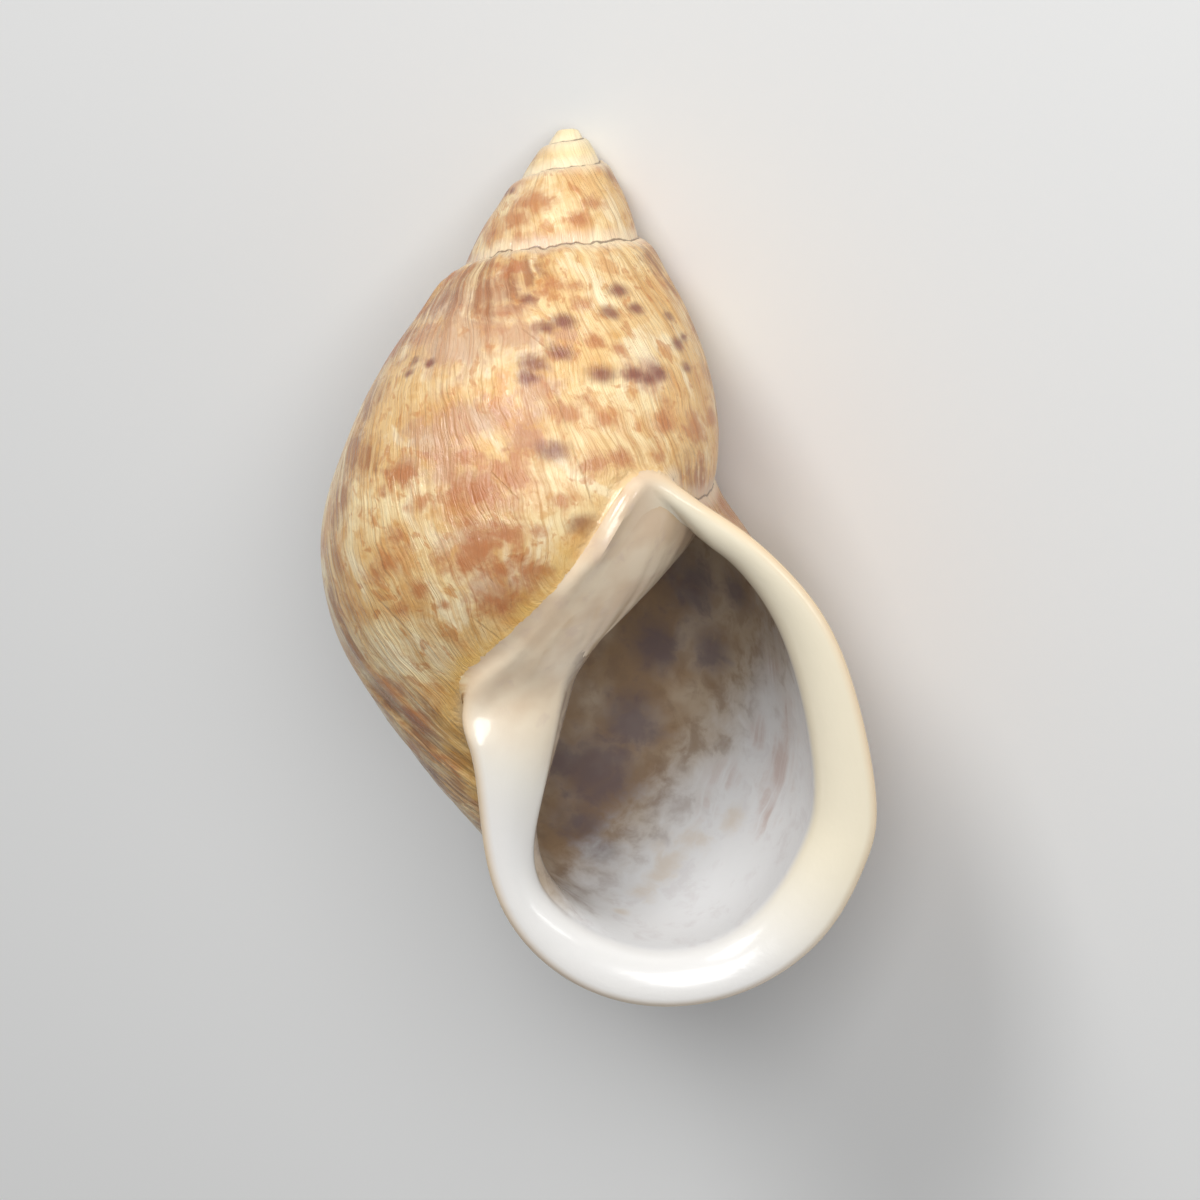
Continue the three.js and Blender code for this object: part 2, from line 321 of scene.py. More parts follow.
def lip_point(k):
    u, v = lip_across(k), lip_down(k)
    w = LIP_PLANE_AT_TIP + LIP_PLANE_ACROSS * u + LIP_PLANE_DOWN * v + lip_lift(k)
    return np.stack([u, -v, w], -1)


def lip_outward(k):
    step = 0.05
    tangent = lip_point(k + step) - lip_point(k - step)
    across = np.cross(tangent, LIP_FORWARD)
    return -across / np.linalg.norm(across, axis=-1, keepdims=True)


def rim_middle(k):
    return lip_point(k) - LIP_RADIUS * lip_outward(k) - LIP_RADIUS * LIP_FORWARD


def flare(share, k, depth):
    """The turned-out part. share is 0 at the tube and 1 at the rim, depth 0 behind and 1 in front."""
    start = outside(0, k) if depth == 0 else inside(0, k)
    way = rim_middle(k) + LIP_FORWARD * LIP_RADIUS * (2 * depth - 1) - start
    forward = (way @ LIP_FORWARD)[..., None] * LIP_FORWARD
    angle = share * math.pi / 2
    bulge = flare_bulge(k)[..., None]
    forward_share = share + (math.sin(angle) - share) * bulge
    aside_share = share + (1 - math.cos(angle) - share) * bulge
    return start + forward * forward_share + (way - forward) * aside_share


def rim(angle, k):
    outward = lip_outward(k) * math.cos(angle) + LIP_FORWARD * math.sin(angle)
    return rim_middle(k) + LIP_RADIUS * outward


# Solids


def to_rest(points):
    """From the shell's own frame, in millimetres, to the frame's, in metres."""
    return (points @ REST_TURN.T + REST_MOVE) * MM


def from_rest(points):
    return (points / MM - REST_MOVE) @ REST_TURN


def mesh_object(name, points, faces, corners=None):
    mesh = bpy.data.meshes.new(name)
    mesh.from_pydata(points.tolist(), [], faces.tolist())
    if corners is not None:
        layer = mesh.attributes.new("tube", "FLOAT_VECTOR", "CORNER")
        layer.data.foreach_set("vector", corners.astype(np.float32).ravel())
    mesh.update()
    made = bpy.data.objects.new(name, mesh)
    bpy.context.scene.collection.objects.link(made)
    return made


def solid(name, rings, labels, closed):
    """A closed solid from rings with equal counts. A tube has flat ends, a wall is closed on itself.

    Each ring's label is its turn and its side, 0 outside and 1 inside. On the lip the turn goes on from
    0 at the tube to 1 at the rim. Each corner of each face keeps its turn, k and side.
    """
    rings, labels = np.asarray(rings), np.asarray(labels, float)
    rows, count = rings.shape[:2]
    j = np.arange(rows if closed else rows - 1)[:, None]
    i = np.arange(count)[None, :]

    def corner(row, column):
        row, column = np.broadcast_arrays(row % rows, column)
        index = row * count + column % count
        label = [labels[row, 0], column * SECTION_POINTS / count, labels[row, 1]]
        return np.concatenate([index[..., None], np.stack(label, -1)], -1)

    a, b, c, d = corner(j, i), corner(j, i + 1), corner(j + 1, i + 1), corner(j + 1, i)
    one = np.stack([a, c, b], -2)
    two = np.stack([a, d, c], -2)
    if closed:
        one[-1] = np.stack([a[-1], d[-1], b[-1]], -2)
        two[-1] = np.stack([b[-1], d[-1], c[-1]], -2)
    corners = [one.reshape(-1, 3, 4), two.reshape(-1, 3, 4)]
    points = rings.reshape(-1, 3)
    if not closed:
        points = np.concatenate([points, rings[:1].mean(1), rings[-1:].mean(1)])
        column = np.arange(count)
        for end, row, turn_round in ((rows * count, 0, 1), (rows * count + 1, rows - 1, -1)):
            here, after = corner(np.array(row), column), corner(np.array(row), column + 1)
            middle = here.copy()
            middle[:, 0] = end
            corners.append(np.stack([middle, *(here, after)[::turn_round]], -2))
    corners = np.concatenate(corners)
    faces = corners[..., 0].astype(int)
    return mesh_object(name, to_rest(points), faces, corners[..., 1:].reshape(-1, 3))


def ring_ks(count):
    return np.arange(count) * SECTION_POINTS / count


def boolean(base, tools, operation):
    for tool in tools:
        cut = base.modifiers.new("cut", "BOOLEAN")
        cut.operation = operation
        cut.solver = "MANIFOLD"
        cut.object = tool
    evaluated = base.evaluated_get(bpy.context.evaluated_depsgraph_get())
    result = bpy.data.meshes.new_from_object(evaluated)
    base.modifiers.clear()
    base.data = result
    for tool in tools:
        bpy.data.objects.remove(tool)


def filled(start, end, steps, count, surface):
    turns = np.linspace(start, end, steps + 1)
    labels = np.stack([turns, np.zeros(steps + 1)], -1)
    return solid("filled", surface(turns[:, None], ring_ks(count)[None, :]), labels, False)


def wall(start, end, outer_steps, inner_steps):
    ks = ring_ks(RING)
    outer_turns = np.linspace(start, end, outer_steps + 1)
    inner_turns = np.linspace(end, start, inner_steps + 1)
    rings = list(outside(outer_turns[:, None], ks[None, :]))
    labels = [(turn, 0) for turn in outer_turns]
    if end == 0:
        shares = np.arange(1, FLARE_STEPS + 1) / FLARE_STEPS
        rings += [flare(share, ks, 0) for share in shares]
        labels += [(share, 0) for share in shares]
        for share in np.arange(1, RIM_STEPS) / RIM_STEPS:
            rings.append(rim((share - 0.5) * math.pi, ks))
            labels.append((1, share))
        rings += [flare(share, ks, 1) for share in shares[::-1]]
        labels += [(share, 1) for share in shares[::-1]]
    rings += list(inside(inner_turns[:, None], ks[None, :]))
    labels += [(turn, 1) for turn in inner_turns]
    return solid("wall", rings, labels, True)


def core(turn, k):
    return tube(turn, k, GRAFT_DEPTH)


# The pillar in the middle: depth below the tip and radius.
PILLAR = [(0.6, 0.25), (6, 0.7), (14, 1.1), (26, 1.4), (36, 1.35), (43, 0.9), (46, 0.5)]
PILLAR_SIDES = 24
PILLAR_RINGS = 30


def pillar():
    angles = np.arange(PILLAR_SIDES) * math.tau / PILLAR_SIDES
    depths = np.linspace(PILLAR[0][0], PILLAR[-1][0], PILLAR_RINGS)
    radii = np.interp(depths, [p[0] for p in PILLAR], [p[1] for p in PILLAR])
    circle = np.stack([np.cos(angles), np.zeros(PILLAR_SIDES), -np.sin(angles)], -1)
    labels = [(-1, 0)] * len(depths)
    return solid("pillar", [r * circle + [0, -d, 0] for d, r in zip(depths, radii)], labels, False)


def floor_block():
    """What the floor takes off, so that the shell has its flat spots."""
    low = np.array([-0.1, -0.1, -0.05])
    high = np.array([0.1, 0.1, 0])
    corners = np.array([[x, y, z] for x in (0, 1) for y in (0, 1) for z in (0, 1)])
    sides = [[0, 1, 3, 2], [4, 6, 7, 5], [0, 4, 5, 1], [2, 3, 7, 6], [0, 2, 6, 4], [1, 5, 7, 3]]
    return mesh_object("floor block", low + corners * (high - low), np.array(sides))


def build_shell():
    body = pillar()
    pieces = [filled(a, b, max(8, int(n * FINE)), RING, outside) for a, b, n in FILLED_STRETCHES]
    first, first_end, first_steps, _ = HOLLOW_STRETCHES[0]
    step = (first_end - first) / int(first_steps * FINE)
    pieces.append(filled(first, first + step, 1, RING, outside))
    for start, end, outer_steps, inner_steps in HOLLOW_STRETCHES:
        grown = wall(start, end, int(outer_steps * FINE), int(inner_steps * FINE))
        cuts = np.linspace(max(start - CORE_BACK, CORE_LIMIT), start - CORE_FRONT, 4)
        parts = zip(cuts[:-1], cuts[1:])
        cores = [filled(a, b + 0.01, CORE_STEPS, CORE_RING, core) for a, b in parts]
        boolean(grown, cores, "DIFFERENCE")
        pieces.append(grown)
    boolean(body, pieces, "UNION")
    boolean(body, [floor_block()], "DIFFERENCE")
    return body


def largest_part(points, faces, corners):
    """The largest connected part of a mesh."""
    edges = np.concatenate([faces[:, [0, 1]], faces[:, [1, 2]]])
    part = np.arange(len(points))
    while True:
        low = np.minimum(part[edges[:, 0]], part[edges[:, 1]])
        joined = part.copy()
        np.minimum.at(joined, edges[:, 0], low)
        np.minimum.at(joined, edges[:, 1], low)
        joined = joined[joined]
        if (joined == part).all():
            break
        part = joined
    names, sizes = np.unique(part[faces[:, 0]], return_counts=True)
    kept = part[faces[:, 0]] == names[sizes.argmax()]
    used, numbers = np.unique(faces[kept], return_inverse=True)
    return points[used], numbers.reshape(-1, 3), corners[kept]


def read_triangles(mesh):
    mesh.calc_loop_triangles()
    count = len(mesh.loop_triangles)
    vertices, loops = np.zeros(count * 3, int), np.zeros(count * 3, int)
    mesh.loop_triangles.foreach_get("vertices", vertices)
    mesh.loop_triangles.foreach_get("loops", loops)
    points = np.zeros(len(mesh.vertices) * 3)
    mesh.vertices.foreach_get("co", points)
    tube_values = np.zeros(len(mesh.loops) * 3)
    mesh.attributes["tube"].data.foreach_get("vector", tube_values)
    corners = tube_values.reshape(-1, 3)[loops].reshape(-1, 3, 3)
    return from_rest(points.reshape(-1, 3)), vertices.reshape(-1, 3), corners


# The callus: a glaze of porcelain that runs from the lip's top corner over the whorl before it and
# down to the pillar. Its outer edge, across and down on the front.
CALLUS_EDGE = [
    (13.5, 27.9), (10, 25.7), (7.9, 24.8), (5.6, 23.9), (4.6, 24.8), (3.6, 26.6), (2.7, 29),
    (1.4, 31.7), (0.4, 33.3), (-0.7, 34.8), (-2.1, 36.4), (-3.6, 37.6), (-5, 38.7), (-5.7, 40.1),
    (-5.7, 41.6), (-5.1, 43), (-4.3, 44.3), (-3.8, 46), (-3.6, 48.8),
]
CALLUS_FAR = [(-3.6, 75), (45, 75), (45, 27.9)]
CALLUS_THICKNESS = 0.32
CALLUS_SHOULDER = 0.9

# The outside before this turn is the older whorl at the mouth, and the inside after this turn the newer.
OLDER_BEFORE = -0.42
NEWER_AFTER = -0.9

# How far the joint of the two is rounded, less at the lip's top corner and more at the pillar. The two
# places are across and down on the front, each with how far off it ends and over what width.
JOINT_REACH = 1.5
CORNER_SHARPER = 1.0
CORNER_PLACE = (5.6, 24.1)
CORNER_END, CORNER_WIDTH = 9.5, 5
PILLAR_ROUNDER = 1.9
PILLAR_PLACE = (-3, 41)
PILLAR_END, PILLAR_WIDTH = 9, 6
ROUNDING_PASSES = 36
ROUNDING_SHARE = 0.6
CALLUS_PAST_JOINT = 2.5


def inside_polygon(x, y, polygon):
    found = np.zeros(np.shape(x), bool)
    for (x1, y1), (x2, y2) in zip(polygon, polygon[1:] + polygon[:1]):
        if y1 != y2:
            crosses = (y1 > y) != (y2 > y)
            found ^= crosses & (x < x1 + (y - y1) * (x2 - x1) / (y2 - y1))
    return found


def inside_distance(x, y, line, far):
    """Distance to an open line, positive on the side where the far points close it off."""
    nearest = np.full(np.shape(x), 1e9)
    for (x1, y1), (x2, y2) in zip(line[:-1], line[1:]):
        dx, dy = x2 - x1, y2 - y1
        share = np.clip(((x - x1) * dx + (y - y1) * dy) / (dx * dx + dy * dy), 0, 1)
        nearest = np.minimum(nearest, np.hypot(x - x1 - share * dx, y - y1 - share * dy))
    return np.where(inside_polygon(x, y, line + far), nearest, -nearest)


def per_vertex(faces, values, count, reduce):
    """One value for each vertex from the values at the faces' corners."""
    made = np.full(count, -np.inf if reduce is np.maximum else np.inf)
    reduce.at(made, faces.ravel(), values.ravel())
    return made


def vertex_normals(points, faces):
    a, b, c = (points[faces[:, i]] for i in range(3))
    at_corners = np.repeat(np.cross(b - a, c - a), 3, axis=0)
    made = np.stack([np.bincount(faces.ravel(), at_corners[:, i], len(points)) for i in range(3)], -1)
    return made / np.maximum(np.linalg.norm(made, axis=1, keepdims=True), 1e-12)


def distance_to(points, targets):
    tree = KDTree(len(targets))
    for i, target in enumerate(targets):
        tree.insert(target, i)
    tree.balance()
    return np.array([tree.find(point)[2] for point in points])


def shape_callus(points, faces, corners):
    """Rounds the joints of the lip and the whorl before it, and raises the callus."""
    turn, side = corners[..., 0], corners[..., 2]
    older = (side < 0.3) & (turn < OLDER_BEFORE)
    newer = (side > 0.3) & (turn > NEWER_AFTER)
    count = len(points)
    is_older = per_vertex(faces, older.astype(float), count, np.maximum) > 0
    is_newer = per_vertex(faces, newer.astype(float), count, np.maximum) > 0
    seam = points[is_older & is_newer & (points[:, 1] < -20)]
    near = np.flatnonzero((points[:, 1] < -19) & (np.abs(points[:, 0]) < 26))
    distance = np.full(count, 99.0)
    distance[near] = distance_to(points[near], seam)

    u, v, w = points[:, 0], -points[:, 1], points[:, 2]
    from_corner = np.hypot(u - CORNER_PLACE[0], v - CORNER_PLACE[1])
    from_pillar = np.hypot(u - PILLAR_PLACE[0], v - PILLAR_PLACE[1])
    at_corner = smooth((CORNER_END - from_corner) / CORNER_WIDTH) * (w > 0)
    at_pillar = smooth((PILLAR_END - from_pillar) / PILLAR_WIDTH) * (w > 0)
    reach = JOINT_REACH - CORNER_SHARPER * at_corner + PILLAR_ROUNDER * at_pillar
    weight = smooth(1.2 - distance / reach)
    moving = np.flatnonzero(weight > 0)
    edges = np.concatenate([faces[:, [0, 1]], faces[:, [1, 2]], faces[:, [2, 0]]])
    edges = edges[np.isin(edges[:, 0], moving)]
    degree = np.maximum(np.bincount(edges[:, 0], minlength=count), 1)
    for _ in range(ROUNDING_PASSES):
        mean = [np.bincount(edges[:, 0], points[edges[:, 1], i], count) / degree for i in range(3)]
        step = np.stack(mean, -1)[moving] - points[moving]
        points[moving] += ROUNDING_SHARE * weight[moving, None] * step

    u, v, w = points[:, 0], -points[:, 1], points[:, 2]
    amount = smooth(inside_distance(u, v, CALLUS_EDGE, CALLUS_FAR) / CALLUS_SHOULDER) * smooth((w + 3) / 3)
    amount = np.where(is_older, amount, amount * smooth(1 - distance / CALLUS_PAST_JOINT))
    amount[~is_older & ~(distance < CALLUS_PAST_JOINT)] = 0
    return points + CALLUS_THICKNESS * amount[:, None] * vertex_normals(points, faces)


# Marks on the front: across, down and radius in millimetres.
SPOTS = [
    (4.0, 11.6, 0.53), (5.3, 12.8, 0.46), (3.5, 13.2, 0.53), (0.4, 14.0, 0.56), (-0.8, 14.5, 0.49),
    (0.2, 16.2, 0.63), (-1.6, 17.1, 0.67), (-1.9, 18.0, 0.53), (3.1, 17.5, 0.63), (7.1, 17.1, 0.56),
    (5.4, 17.4, 0.5), (6.3, 17.6, 0.46), (7.6, 13.1, 0.39), (8.7, 14.5, 0.3), (8.3, 15.0, 0.46),
    (9.0, 16.6, 0.42), (0.1, 23.1, 0.7), (-10.2, 18.0, 0.35), (-9.8, 17.1, 0.32), (-8.7, 17.3, 0.32),
    (-2.4, 12.6, 0.42), (2.6, 27.9, 0.7),
]
RUST = [
    (9.7, 20.7, 0.88), (10.9, 19.8, 0.61), (-2.7, 24.8, 0.96), (-2.4, 28.8, 0.79), (-1.8, 33.1, 0.96),
    (-0.7, 31.3, 0.88), (-3.1, 31.2, 0.88), (-4.3, 28.5, 0.96), (-4.5, 29.8, 0.96), (-7.1, 30.6, 0.44),
    (-10.1, 29.2, 0.61), (-9.5, 30.1, 0.39), (-11.5, 26.3, 0.39), (-10.2, 25.1, 0.96), (-8.9, 27.1, 0.56),
    (-6.4, 27.0, 1.23), (-5.3, 30.9, 0.88), (-5.1, 26.1, 0.88), (-10.9, 31.3, 0.7), (-11.7, 32.2, 0.61),
    (-9.8, 34.3, 0.46), (-6.8, 33.9, 0.35), (-8.5, 32.9, 0.53), (-5.5, 23.7, 0.53), (1.6, 12.8, 0.49),
    (1.0, 11.4, 0.39), (-0.5, 11.3, 0.49), (-1.3, 12.1, 0.39), (7.5, 20.6, 0.7), (7.7, 19.1, 0.46),
    (3.6, 20.7, 0.6), (2.6, 15.3, 0.46), (4.3, 15.7, 0.39), (7.3, 23.0, 0.53), (4.7, 23.3, 0.56),
    (3.0, 23.8, 0.7), (-3.8, 10.5, 0.7), (0.9, 20.3, 0.61), (2.1, 19.4, 0.53), (-2.1, 23.4, 0.53),
    (-3.3, 33.5, 0.7), (-4.1, 34.1, 0.53), (-2.5, 5.5, 1.05), (-3.3, 6.8, 0.8), (-4.9, 7.9, 1.0),
    (-1.3, 8.4, 1.0), (-6.2, 9.8, 0.7), (2.0, 5.5, 0.5), (1.1, 6.6, 0.5), (-3.0, 26.8, 0.9),
    (-1.9, 30.4, 0.8), (-3.4, 29.6, 0.7), (-5.6, 28.2, 0.7), (-0.6, 28.6, 0.5), (0.8, 26.4, 0.5),
]
HAZE = [
    (-7.0, 15.9, 2.1), (-5.5, 15.0, 1.75), (-3.5, 13.4, 1.05), (-3.2, 15.2, 1.2), (-8.0, 22.1, 1.58),
    (-7.6, 23.5, 1.4), (-7.2, 25.0, 0.88), (-4.2, 20.6, 1.05), (-5.3, 21.1, 1.23), (-1.0, 18.7, 0.88),
    (-1.4, 20.6, 0.88), (-1.9, 22.2, 0.88), (-6.5, 20.9, 1.05), (6.4, 17.4, 1.05), (0.5, 15.0, 0.7),
    (-7.8, 13.2, 1.6), (-4.4, 11.9, 1.3), (-9.2, 15.2, 1.4), (-4.9, 29.4, 1.5), (-3.2, 32.4, 1.4),
    (-9.6, 24.4, 1.0), (-5.2, 25.6, 1.2),
]
# Bands of brown growth streaks along the two sides of the front.
STREAKS = [
    (-6.5, 11.2, 2.2), (-8.8, 12.9, 1.8), (-11.0, 15.7, 1.7), (-12.8, 19.9, 1.7), (-13.9, 23.5, 1.6),
    (-14.6, 27.0, 1.6), (-14.9, 31.2, 1.5), (-14.3, 34.2, 1.5), (-13.0, 37.3, 1.4), (-10.8, 40.5, 1.4),
    (-8.0, 43.5, 1.3), (-5.6, 46.6, 1.2), (6.4, 9.2, 1.2), (7.7, 10.9, 1.0), (9.3, 13.6, 0.8),
    (10.4, 16.6, 0.8), (11.3, 19.4, 0.6), (-4.5, 12.2, 1.8), (-2.4, 10.9, 1.2), (-12.6, 24.0, 1.2),
]
# Growth lines cut into the front: across and down at both ends.
CUTS = [
    (-2.6, 14.6, -0.5, 16.1), (-0.1, 18.6, 1.2, 22.0), (1.2, 22.0, 3.2, 27.0), (-4.1, 24.6, -1.9, 26.6),
    (-4.9, 34.6, -2.4, 36.4), (-7.1, 17.0, -6.3, 21.2), (3.0, 8.2, 3.6, 9.8), (-11.6, 33.6, -8.6, 36.4),
]
# Smudges that show through inside the mouth, tan stains, and rosy streaks on the outer wall.
SMUDGES = [
    (4.2, 45.5, 3.0), (3.2, 49.0, 2.0), (6.6, 41.5, 2.2), (10.4, 31.5, 2.4), (8.0, 36.0, 2.0),
    (12.0, 36.0, 1.8), (5.0, 51.0, 1.4), (13.6, 31.8, 1.6), (1.6, 44.6, 1.6),
]
STAINS = [
    (9.9, 51.9, 1.1), (7.8, 53.6, 0.7), (6.4, 55.0, 0.55), (11.4, 49.6, 0.9), (9.2, 50.0, 0.7),
    (14.2, 47.8, 0.8),
]
ROSY = [
    (16.4, 36.4, 1.5), (17.6, 40.2, 1.5), (17.4, 44.0, 1.4), (13.4, 44.4, 1.4), (12.2, 47.2, 1.0),
    (15.4, 41.6, 1.0), (16.6, 47.6, 0.9),
]
# The edge of the dark inside, across and down. Past it the inside is painted darker, partly the shell's own
# brown showing through and partly painted shade deep in the mouth.
DARK_EDGE = [
    (10.5, 24), (15.2, 28.8), (17.2, 33), (15.9, 36.5), (12.4, 42.3), (8.5, 48.1), (4.2, 52.6), (1.5, 54.5),
]
DARK_FAR = [(-8, 56), (-8, 20)]


def on_front(caster, marks, depth=60.0):
    """The marks' places on the first surface met from the front, in the shell's frame."""
    found = []
    for u, v, radius in marks:
        hit = caster.ray_cast(Vector((u, -v, depth)), Vector((0, 0, -1)))[0]
        if hit:
            found.append((*hit, radius))
    return np.array(found)


# The marks start at this turn, because the whorls before it are plain.
MARKED_FROM = -2.6


def scattered(count, smallest, largest):
    """Marks all over the whorls, left out on the front of the last ones, where they have their own."""
    found = []
    while len(found) < count:
        turn, k = MARKED_FROM * rng.uniform() ** 1.6, rng.uniform(0.2, 11)
        place = outside(turn, k)
        if not (place[2] > 2 and turn < -0.35):
            found.append((*place, rng.uniform(smallest, largest) * min(1, whorl_radius(turn) / 10)))
    return np.array(found)


def nearness(points, marks, stretch=1.0):
    """How near the nearest mark is: 0 at its centre, 1 at its radius.

    Each mark is stretch times as long along the whorl as across it.
    """
    nearest = np.full(len(points), 9.0)
    for x, y, z, radius in marks:
        way = points - (x, y, z)
        length = (way[:, 0] * -z + way[:, 2] * x) / max(math.hypot(x, z), 1e-6)
        square = (way**2).sum(1) - (1 - 1 / stretch**2) * length**2
        nearest = np.minimum(nearest, np.sqrt(np.maximum(square, 0)) / radius)
    return nearest


def suture_points(points, faces, corners):
    """The points where the outside of one whorl meets the outside of the whorl before it."""
    turn, outer = corners[..., 0], corners[..., 2] < 0.3
    latest = per_vertex(faces, np.where(outer, turn, -99), len(points), np.maximum)
    earliest = per_vertex(faces, np.where(outer, turn, 99), len(points), np.minimum)
    meet = (latest - earliest > 0.4) & (latest > -90) & (earliest < 90)
    return points[meet & (points[:, 1] > -32)]


def write_attribute(mesh, name, values, corners=True):
    layer = mesh.attributes.new(name, "FLOAT_VECTOR", "CORNER" if corners else "POINT")
    layer.data.foreach_set("vector", np.asarray(values, np.float32).ravel())


# For the growth lines: the lip's own length, and the tube's length round its section in radii.
LIP_LENGTH = 3
ROUND_SHARE = 2.6


def dress(body):
    """Finishes the surface and writes the values that the colours are laid out by."""
    points, faces, corners = largest_part(*read_triangles(body.data))
    points = shape_callus(points, faces, corners)
    made = to_rest(points)
    made[:, 2] = np.maximum(made[:, 2], 0)
    mesh = bpy.data.meshes.new("shell_surface")
    mesh.from_pydata(made.tolist(), [], faces.tolist())
    mesh.polygons.foreach_set("use_smooth", np.ones(len(faces), bool))
    mesh.set_sharp_from_angle(angle=math.radians(50))
    body.data = mesh

    turn, k, side = corners[..., 0].ravel(), corners[..., 1].ravel(), corners[..., 2].ravel()
    place = points[faces.ravel()]
    u, v, w = place[:, 0], -place[:, 1], place[:, 2]
    length = length_along(np.minimum(turn, 0)) + LIP_LENGTH * np.maximum(turn, 0)
    height = k * np.clip(whorl_radius(np.minimum(turn, 0)), 1, 20) * ROUND_SHARE / SECTION_POINTS
    write_attribute(mesh, "along", np.stack([length, height, turn], -1))
    callus = inside_distance(u, v, CALLUS_EDGE, CALLUS_FAR)
    callus = np.where((side < 0.3) & (turn < OLDER_BEFORE) & (w > -3), callus, -20)
    dark = inside_distance(u, v, DARK_EDGE, DARK_FAR)
    write_attribute(mesh, "zone", np.stack([callus, side, dark], -1))
    write_attribute(mesh, "front", points * (1, -1, 1), False)

    caster = BVHTree.FromPolygons(points.tolist(), faces.tolist())
    spots = np.concatenate([on_front(caster, SPOTS), scattered(110, 0.3, 0.65)])
    rust = np.concatenate([on_front(caster, RUST), scattered(190, 0.4, 1.2)])
    haze = np.concatenate([on_front(caster, HAZE), scattered(60, 0.8, 2.4)])
    streaks = np.concatenate([on_front(caster, STREAKS), scattered(60, 1.0, 2.6)])
    marks = [nearness(points, spots, 1.6), nearness(points, rust, 1.5), nearness(points, haze, 1.5)]
    write_attribute(mesh, "marks", np.stack(marks, -1), False)
    suture = distance_to(points, suture_points(points, faces, corners))
    bands = [nearness(points, streaks), suture, np.zeros(len(points))]
    write_attribute(mesh, "bands", np.stack(bands, -1), False)
    within = [nearness(points, on_front(caster, found)) for found in (SMUDGES, STAINS, ROSY)]
    write_attribute(mesh, "within", np.stack(within, -1), False)


body = build_shell()
dress(body)
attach(body, "root")
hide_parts("shell")
body.name = "shell_surface"


# Material


def colour(red, green, blue):
    """A colour given as it shows on a screen, from 11 to 255 for each part."""
    return (*(((c / 255 + 0.055) / 1.055) ** 2.4 for c in (red, green, blue)), 1)


class Mixer:
    """Short names for the nodes of one material."""

    def __init__(self, tree):
        self.tree = tree

    def node(self, kind, inputs=(), **settings):
        made = self.tree.nodes.new(kind)
        for name, value in settings.items():
            setattr(made, name, value)
        for key, value in dict(inputs).items():
            if isinstance(value, bpy.types.NodeSocket):
                self.tree.links.new(value, made.inputs[key])
            else:
                made.inputs[key].default_value = value
        return made

    def math(self, operation, a, b=0.0):
        return self.node("ShaderNodeMath", {0: a, 1: b}, operation=operation).outputs[0]

    def add(self, a, b):
        return self.math("ADD", a, b)

    def times(self, a, b):
        return self.math("MULTIPLY", a, b)

    def step(self, value, low, high):
        """0 below low, 1 above high, and smooth between. It falls where low is the larger."""
        kept = {"Value": value, "From Min": low, "From Max": high}
        return self.node("ShaderNodeMapRange", kept, interpolation_type="SMOOTHSTEP").outputs["Result"]

    def mix(self, share, a, b):
        made = self.node("ShaderNodeMix", data_type="RGBA", clamp_factor=True)
        for key, value in ((0, share), (6, a), (7, b)):
            if isinstance(value, bpy.types.NodeSocket):
                self.tree.links.new(value, made.inputs[key])
            else:
                made.inputs[key].default_value = value
        return made.outputs[2]

    def vector(self, x, y, z=0.0):
        return self.node("ShaderNodeCombineXYZ", {0: x, 1: y, 2: z}).outputs[0]

    def scaled(self, vector, factors):
        return self.node("ShaderNodeVectorMath", {0: vector, 1: factors}, operation="MULTIPLY").outputs[0]

    def noise(self, vector, scale, detail=2.0, roughness=0.5, distortion=0.0):
        kept = {"Vector": vector, "Scale": scale, "Detail": detail, "Roughness": roughness}
        return self.node("ShaderNodeTexNoise", {**kept, "Distortion": distortion}).outputs["Fac"]

    def line(self, across, down, wander, start, end):
        """1 on a straight line on the front, 0 away from it."""
        length = math.dist(start, end)
        du, dv = (end[0] - start[0]) / length, (end[1] - start[1]) / length
        u, v = self.add(across, -start[0]), self.add(down, -start[1])
        on = self.add(self.times(u, du), self.times(v, dv))
        off = self.add(self.times(u, dv), self.times(v, -du))
        off = self.add(off, self.times(self.add(wander, -0.5), 0.25))
        ends = self.times(self.step(on, -0.2, 0.5), self.step(on, length + 0.2, length - 0.8))
        return self.times(self.step(self.math("ABSOLUTE", off), 0.11, 0.02), ends)

    def attribute(self, name):
        vector = self.node("ShaderNodeAttribute", attribute_name=name).outputs["Vector"]
        return (vector, *self.node("ShaderNodeSeparateXYZ", {0: vector}).outputs)


